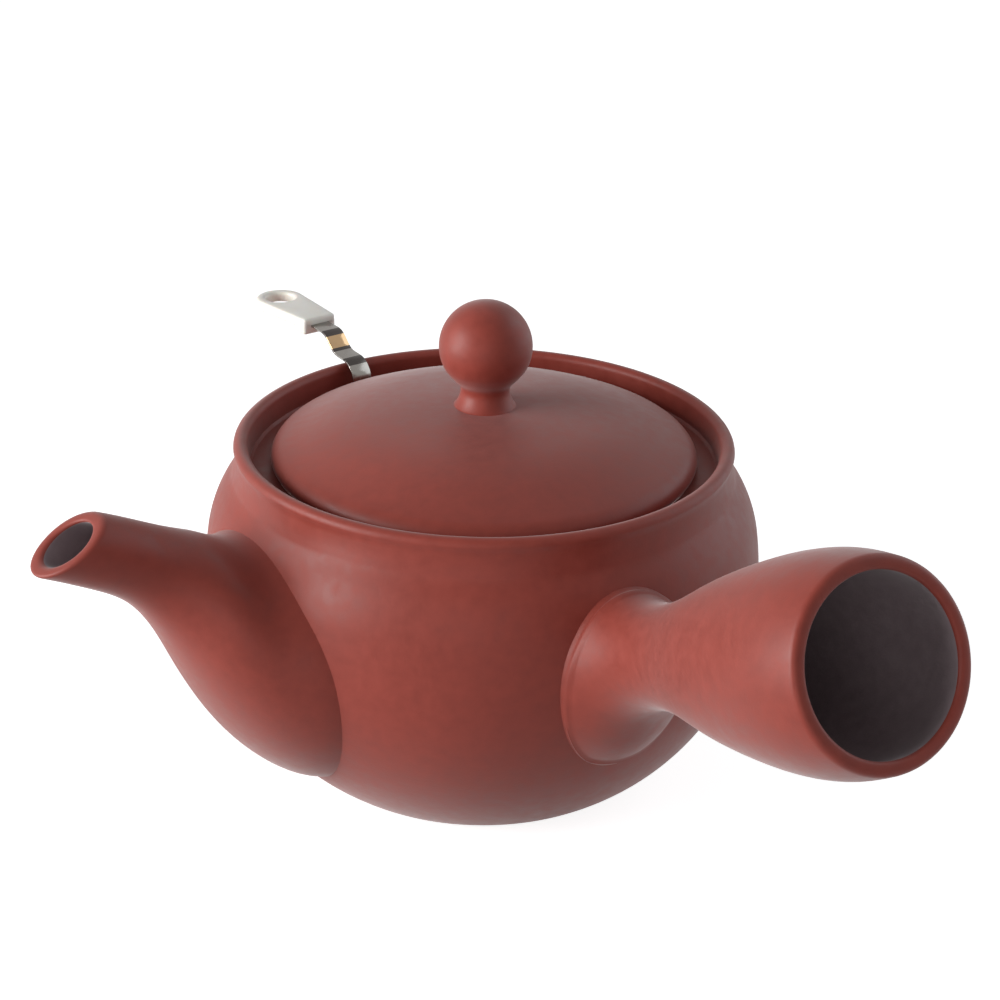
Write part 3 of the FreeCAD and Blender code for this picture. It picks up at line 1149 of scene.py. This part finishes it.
    def floor_wires(self) -> list[Wire]:
        """Weaves wires both ways across the floor.

        Returns:
            Points of each wire, and whether it closes on itself.
        """
        edge = self.net_low_r - self.sheet
        level = self.seam_low + self.sheet + 2 * self.wire
        count = int(edge / self.pitch)
        wires = []
        for column in range(-count, count + 1):
            reach = int(math.sqrt(edge ** 2 - (column * self.pitch) ** 2) / self.pitch)
            if reach < 1:
                continue
            sides = [(row, self.wave if (column + row) % 2 else -self.wave)
                     for row in range(-reach, reach + 1)]
            wires.append(([Vector((column * self.pitch, row * self.pitch, level + side))
                           for row, side in sides], False))
            wires.append(([Vector((row * self.pitch, column * self.pitch, level - side))
                           for row, side in sides], False))
        return wires

    def build(self, finishes: Finishes) -> list[bpy.types.Object]:
        """Makes the basket.

        Args:
            finishes: Every finish.

        Returns:
            Its pieces.
        """
        rim = Skin().turn(self.rim_profile(), self.facets).piece("basket_rim", finishes.sheet)
        seam = Skin().turn(self.seam_profile(), self.facets).piece("basket_seam", finishes.sheet)
        wall = self.woven("basket_net", self.wall_wires(), finishes.wire)
        bottom = self.woven("basket_floor_net", self.floor_wires(), finishes.wire)
        return [
            place(rim, Body.BASKET, Slot.STEEL, "strainer_rim"),
            place(seam, Body.BASKET, Slot.STEEL, "strainer_seam"),
            place(wall, Body.BASKET, Slot.STEEL, "strainer_wall"),
            place(bottom, Body.BASKET, Slot.STEEL, "strainer_floor"),
        ]


@dataclass
class LiftTab:
    """Bent steel strap from the basket's flange over the pot's rim, with a moulded tab on its end."""

    turn: float = 98.3
    width: float = 4.6
    sheet: float = 0.5
    strap_ease: float = 0.16
    path: tuple[Point, ...] = ((41.3, 63.45), (43.4, 63.45), (43.4, 67.3), (45.7, 70.0), (50.9, 70.4),
                               (54.5, 73.9), (67.0, 74.3))
    bend: float = 1.5
    bend_steps: int = 6
    near: float = 59.7
    hole_at: float = 76.0
    near_w: float = 8.0
    far_r: float = 5.4
    hole_r: float = 3.3
    top: float = 75.8
    thick: float = 2.4
    block_thick: float = 3.6
    block: float = 5.0
    block_w: float = 8.2
    ease: float = 0.7
    eased_past: float = 40.0
    facets: int = 80

    def bent(self) -> list[Point]:
        """Rounds the corners of the strap's path.

        Returns:
            Points along the path.
        """
        spots = [Vector((r, 0, z)) for r, z in self.path]
        points = [spots[0]]
        for before, corner, after in zip(spots, spots[1:], spots[2:]):
            reach = min(self.bend, (before - corner).length * 0.45, (after - corner).length * 0.45)
            points += rounded(corner + (before - corner).normalized() * reach, corner,
                              corner + (after - corner).normalized() * reach, self.bend_steps)
        points.append(spots[-1])
        return [(p.x, p.z) for p in points]

    def strap_rings(self) -> list[list[Vector]]:
        """Sections of the strap along its path.

        Returns:
            Rings of points in metres.
        """
        points = self.bent()
        half = self.width / 2
        thin = self.sheet / 2
        ease = self.strap_ease
        section = [(half - ease, -thin), (half - ease * 0.3, -thin + ease * 0.3), (half, -thin + ease),
                   (half, thin - ease), (half - ease * 0.3, thin - ease * 0.3), (half - ease, thin)]
        section += [(-across, up) for across, up in reversed(section)]
        swing = Matrix.Rotation(math.radians(self.turn), 3, "Z") * MM
        rings = []
        for i, (r, z) in enumerate(points):
            back = points[max(i - 1, 0)]
            ahead = points[min(i + 1, len(points) - 1)]
            angle = math.atan2(ahead[1] - back[1], ahead[0] - back[0])
            rings.append([swing @ Vector((r - math.sin(angle) * up, across, z + math.cos(angle) * up))
                          for across, up in section])
        return rings

    def strap_finishes(self) -> dict[int, int]:
        """Numbers the finishes along the strap.

        Returns:
            1 for spans of the sloping step, painted tan, and 2 for bend spans above the rim, painted near
            black; both are painted reflections.
        """
        over_rim, step_foot, step_top = (1 + corner * (self.bend_steps + 1) for corner in (2, 3, 4))
        # Spans of the sloping step get the painted tan reflection.
        step = range(step_foot + 5, step_top + 1)
        # Spans in the bends are painted near black, a painted reflection.
        painted_dark_bends = [*range(over_rim + 1, over_rim + 6), *range(step_foot + 3, step_foot + 5),
                *range(step_top + 1, step_top + 5)]
        return dict.fromkeys(step, 1) | dict.fromkeys(painted_dark_bends, 2)

    def plan(self, turn: float) -> float:
        """Measures from the middle of the tab's hole to its outline.

        Args:
            turn: Direction, from the tab's far end round.

        Returns:
            The distance in millimetres.
        """
        lean = math.asin((self.far_r - self.near_w / 2) / (self.hole_at - self.near))
        away = math.cos(turn)
        if abs(turn) < math.pi / 2 + lean:
            return self.far_r
        flank = self.far_r / math.cos(abs(turn) - math.pi / 2 - lean)
        return min(flank, (self.hole_at - self.near) / -away)

    def tab_skin(self) -> Skin:
        """Draws the tab round its hole, thickens it and rounds its edges.

        Returns:
            The skin in millimetres, before it is turned about the pot's axis.
        """
        tab = Skin()
        corner = math.pi - math.atan2(self.near_w / 2, self.hole_at - self.near)
        evenly = [2 * math.pi * i / self.facets - math.pi for i in range(self.facets)]
        clear = [turn for turn in evenly if abs(abs(turn) - corner) > math.pi / self.facets]
        turns = sorted([*clear, corner, -corner])
        ring = bmesh.ops.create_circle(tab.mesh, cap_ends=False, segments=len(turns), radius=1.0)["verts"]
        for vert, turn in zip(ring, turns):
            vert.co = (self.hole_at + self.hole_r * math.cos(turn), self.hole_r * math.sin(turn), self.top)
        made = bmesh.ops.extrude_edge_only(tab.mesh, edges=list(tab.mesh.edges))["geom"]
        fresh = {item for item in made if isinstance(item, bmesh.types.BMVert)}
        for vert, turn in zip(ring, turns):
            far = next(e.other_vert(vert) for e in vert.link_edges if e.other_vert(vert) in fresh)
            reach = self.plan(turn)
            far.co = (self.hole_at + reach * math.cos(turn), reach * math.sin(turn), self.top)
        deep = bmesh.ops.extrude_face_region(tab.mesh, geom=list(tab.mesh.faces), use_keep_orig=True)["geom"]
        bmesh.ops.translate(tab.mesh, vec=(0, 0, -self.thick),
                            verts=[item for item in deep if isinstance(item, bmesh.types.BMVert)])
        bmesh.ops.recalc_face_normals(tab.mesh, faces=tab.mesh.faces)
        past = math.radians(self.eased_past)
        edges = [e for e in tab.mesh.edges if e.is_manifold and e.calc_face_angle() > past]
        bmesh.ops.bevel(tab.mesh, geom=edges, offset=self.ease, segments=4, profile=0.5, affect="EDGES",
                        material=-1, clamp_overlap=True)
        return tab

    def add_block(self, tab: Skin) -> None:
        """Adds the thick block in which the strap ends.

        Args:
            tab: The tab's skin.
        """
        block = bmesh.ops.create_cube(tab.mesh, size=1.0)["verts"]
        depth = self.block_thick - self.ease
        bmesh.ops.scale(tab.mesh, vec=(self.block, self.block_w, depth), verts=block)
        bmesh.ops.translate(tab.mesh, verts=block, vec=(
            self.near + self.block / 2, 0, self.top - self.block_thick + depth / 2))
        brim = {e for v in block for e in v.link_edges}
        bmesh.ops.bevel(tab.mesh, geom=list(brim), offset=self.ease, segments=4, profile=0.5,
                        affect="EDGES", material=-1, clamp_overlap=True)

    def build(self, finishes: Finishes) -> list[bpy.types.Object]:
        """Makes the strap and the tab.

        Args:
            finishes: Every finish.

        Returns:
            The two pieces.
        """
        skin = Skin().loft(self.strap_rings(), False, self.strap_finishes())
        strap = skin.piece("lift_strap", finishes.strap, finishes.step, finishes.bend)
        tab = self.tab_skin()
        self.add_block(tab)
        bmesh.ops.scale(tab.mesh, vec=(MM, MM, MM), verts=tab.mesh.verts)
        bmesh.ops.rotate(tab.mesh, verts=tab.mesh.verts, cent=(0, 0, 0),
                         matrix=Matrix.Rotation(math.radians(self.turn), 3, "Z"))
        moulded = tab.piece("lift_tab", finishes.plastic)
        return [place(strap, Body.BASKET, Slot.STEEL, "strainer_strap"),
                place(moulded, Body.BASKET, Slot.PLASTIC, "strainer_tab")]


@dataclass(frozen=True)
class Lamp:
    """Soft square lamp that faces the pot.

    Its place is in metres from the pot: to the camera's right, towards the camera and above the floor.
    """

    name: str
    aside: float
    front: float
    up: float
    size: float
    watts: float
    colour: Triple = (1.0, 1.0, 1.0)


@dataclass
class Studio:
    """White floor, soft light from the left and the photograph's camera.

    The camera's distance and target are in millimetres, its focal length and width in pixels.
    """

    turn: float = -29.7
    elevation: float = 24.695
    distance: float = 400.0
    focal: float = 1987.04
    target: Triple = (3.3133, 0.0, 54.2208)
    roll: float = 1.07
    sensor: float = 36.0
    width: float = 1000.0
    surround: float = 0.20
    mirrored: float = 0.70
    lamps: tuple[Lamp, ...] = (
        Lamp("key", -0.81, 0.26, 0.25, 0.60, 10.8),
        Lamp("front", -0.10, 0.95, 0.20, 0.60, 1.0),
        Lamp("side", 0.85, -0.35, 0.42, 0.90, 3.2, (0.85, 0.93, 1.0)),
    )
    lit: Triple = (0.0, 0.0, 0.045)
    floor_r: float = 6.0
    floor_drop: float = 0.0002

    def axes(self) -> Matrix:
        """Works out the camera's axes in the pot's frame.

        Returns:
            Right, up and back as columns.
        """
        lift = math.radians(self.elevation)
        tilt = math.radians(self.roll)
        right = Vector((1, 0, 0))
        up = Vector((0, math.sin(lift), math.cos(lift)))
        back = Vector((0, -math.cos(lift), math.sin(lift)))
        level = Matrix((right * math.cos(tilt) + up * math.sin(tilt),
                        up * math.cos(tilt) - right * math.sin(tilt), back)).transposed()
        return Matrix.Rotation(math.radians(self.turn), 3, "Z") @ level

    def camera(self) -> None:
        """Makes the camera."""
        data = bpy.data.cameras.new("camera")
        data.sensor_width = self.sensor
        data.lens = self.focal * self.sensor / self.width
        data.clip_start = 0.01
        data.clip_end = 50.0
        camera = bpy.data.objects.new("camera", data)
        axes = self.axes()
        middle = Matrix.Rotation(math.radians(self.turn), 3, "Z") @ Vector(self.target)
        spot = (middle + axes.col[2] * self.distance) * MM
        camera.matrix_world = Matrix.Translation(spot) @ axes.to_4x4()
        bpy.context.scene.collection.objects.link(camera)
        bpy.context.scene.camera = camera

    def hang(self, lamp: Lamp) -> None:
        """Hangs a lamp.

        Args:
            lamp: Its place, size and light.
        """
        data = bpy.data.lights.new(lamp.name, "AREA")
        data.shape = "SQUARE"
        data.size = lamp.size
        data.energy = lamp.watts
        data.color = lamp.colour
        hung = bpy.data.objects.new(lamp.name, data)
        spot = Vector((lamp.aside, -lamp.front, lamp.up))
        hung.location = Matrix.Rotation(math.radians(self.turn), 3, "Z") @ spot
        to_pot = Vector(self.lit) - hung.location
        hung.rotation_euler = to_pot.to_track_quat("-Z", "Y").to_euler()
        bpy.context.scene.collection.objects.link(hung)

    def world(self) -> None:
        """Makes an even white surround, seen by the camera as full white."""
        world = bpy.data.worlds.new("surround")
        bpy.context.scene.world = world
        world.use_nodes = True
        tree = world.node_tree
        tree.nodes.clear()
        output = tree.nodes.new("ShaderNodeOutputWorld")
        rays = tree.nodes.new("ShaderNodeLightPath")
        shader = tree.nodes.new("ShaderNodeBackground")
        shader.inputs["Color"].default_value = (1.0, 1.0, 1.0, 1.0)
        shader.inputs["Strength"].default_value = self.surround
        for ray, level in (("Is Glossy Ray", self.mirrored), ("Is Camera Ray", 1.0)):
            seen = tree.nodes.new("ShaderNodeBackground")
            seen.inputs["Color"].default_value = (1.0, 1.0, 1.0, 1.0)
            seen.inputs["Strength"].default_value = level
            mix = tree.nodes.new("ShaderNodeMixShader")
            tree.links.new(rays.outputs[ray], mix.inputs[0])
            tree.links.new(shader.outputs[0], mix.inputs[1])
            tree.links.new(seen.outputs[0], mix.inputs[2])
            shader = mix
        tree.links.new(shader.outputs[0], output.inputs["Surface"])

    def build(self) -> None:
        """Makes floor, light and camera."""
        skin = Skin()
        bmesh.ops.create_circle(skin.mesh, cap_ends=True, segments=96, radius=self.floor_r)
        bmesh.ops.translate(skin.mesh, verts=skin.mesh.verts, vec=(0, 0, -self.floor_drop))
        floor = skin.piece("floor", FloorFinish().build())
        self.world()
        for lamp in self.lamps:
            self.hang(lamp)
        self.camera()
        bpy.context.scene.view_settings.view_transform = "Standard"


def main() -> None:
    """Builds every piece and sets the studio."""
    logging.basicConfig(level=logging.INFO, format="%(name)s: %(message)s")
    finishes = Finishes()
    pot = Pot()
    pot.build(finishes)
    spout(pot).build(finishes)
    handle(pot).build(finishes)
    Cover().build(finishes)
    Basket().build(finishes)
    LiftTab().build(finishes)
    Studio().build()


if __name__ == "__main__":
    main()
